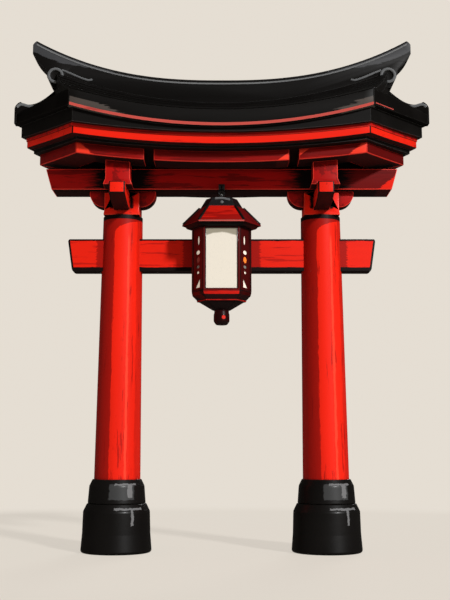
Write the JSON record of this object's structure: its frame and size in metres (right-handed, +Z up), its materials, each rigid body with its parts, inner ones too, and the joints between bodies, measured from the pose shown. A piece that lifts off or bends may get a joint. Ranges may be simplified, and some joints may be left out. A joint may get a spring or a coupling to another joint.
{
  "type": "torii gate with a hipped roof and a hanging lantern",
  "caption": "Red torii gate on black feet, with bracketed upswept eaves, a black hipped roof, a tie beam and a hexagonal lantern that swings under the head beam.",
  "frame": {"origin": "on the ground, midway between the two feet", "axes": "+Z up, +X along the gate to its right end, -Y is the front, where the lantern hangs"},
  "size_m": [4.216, 1.9, 5.098],
  "materials": {
    "black_foot": "glossy black lacquer",
    "black_iron": "black wrought iron",
    "black_roof": "satin black lacquer on boarding",
    "deep_red": "satin deep red paint on timber",
    "paper": "oiled cream paper on a light board",
    "vermilion": "satin vermilion paint on timber"
  },
  "bodies": {
    "gate": {"frieze_board": "black_roof", "front_centre_purlin": "deep_red", "front_cornice": "black_roof", "front_eave_band": "vermilion", "front_left_purlin": "deep_red", "front_right_purlin": "deep_red", "front_roof_slope": "black_roof", "hanger_bar": "black_iron", "head_beam": "deep_red", "left_bearing_block": "vermilion", "left_cross_bracket_arm": "vermilion", "left_foot_collar": "black_foot", "left_foot_drum": "black_foot", "left_gable_wall": "black_roof", "left_pillar": "vermilion", "left_prow_ridge": "black_roof", "left_roof_end": "black_roof", "left_side_bracket_arm": "deep_red", "left_small_blocks": "vermilion", "rear_centre_purlin": "deep_red", "rear_cornice": "black_roof", "rear_eave_band": "vermilion", "rear_left_purlin": "deep_red", "rear_right_purlin": "deep_red", "rear_roof_slope": "black_roof", "ridge_beam": "black_roof", "right_bearing_block": "vermilion", "right_cross_bracket_arm": "vermilion", "right_foot_collar": "black_foot", "right_foot_drum": "black_foot", "right_gable_wall": "black_roof", "right_pillar": "vermilion", "right_prow_ridge": "black_roof", "right_roof_end": "black_roof", "right_side_bracket_arm": "deep_red", "right_small_blocks": "vermilion", "soffit_deck": "black_roof", "tie_beam": "vermilion"},
    "hanging_link": {"hanging_ring": "black_iron"},
    "lantern": {"lantern_base": "vermilion", "lantern_crown": "black_iron", "lantern_finial": "vermilion", "lantern_frame": "vermilion", "lantern_panels": "paper", "lantern_roof": "vermilion", "lantern_side_panels": "deep_red"}
  },
  "joints": [
    {"name": "ring_side_swing", "type": "hinge", "parent": "gate", "child": "hanging_link", "pos_m": [0, -0.33, 3.47], "axis": [0, 1, 0], "range_deg": [-10, 10]},
    {"name": "lantern_front_swing", "type": "hinge", "parent": "hanging_link", "child": "lantern", "pos_m": [0, -0.33, 3.4234], "axis": [1, 0, 0], "range_deg": [-12, 3.5]}
  ]
}
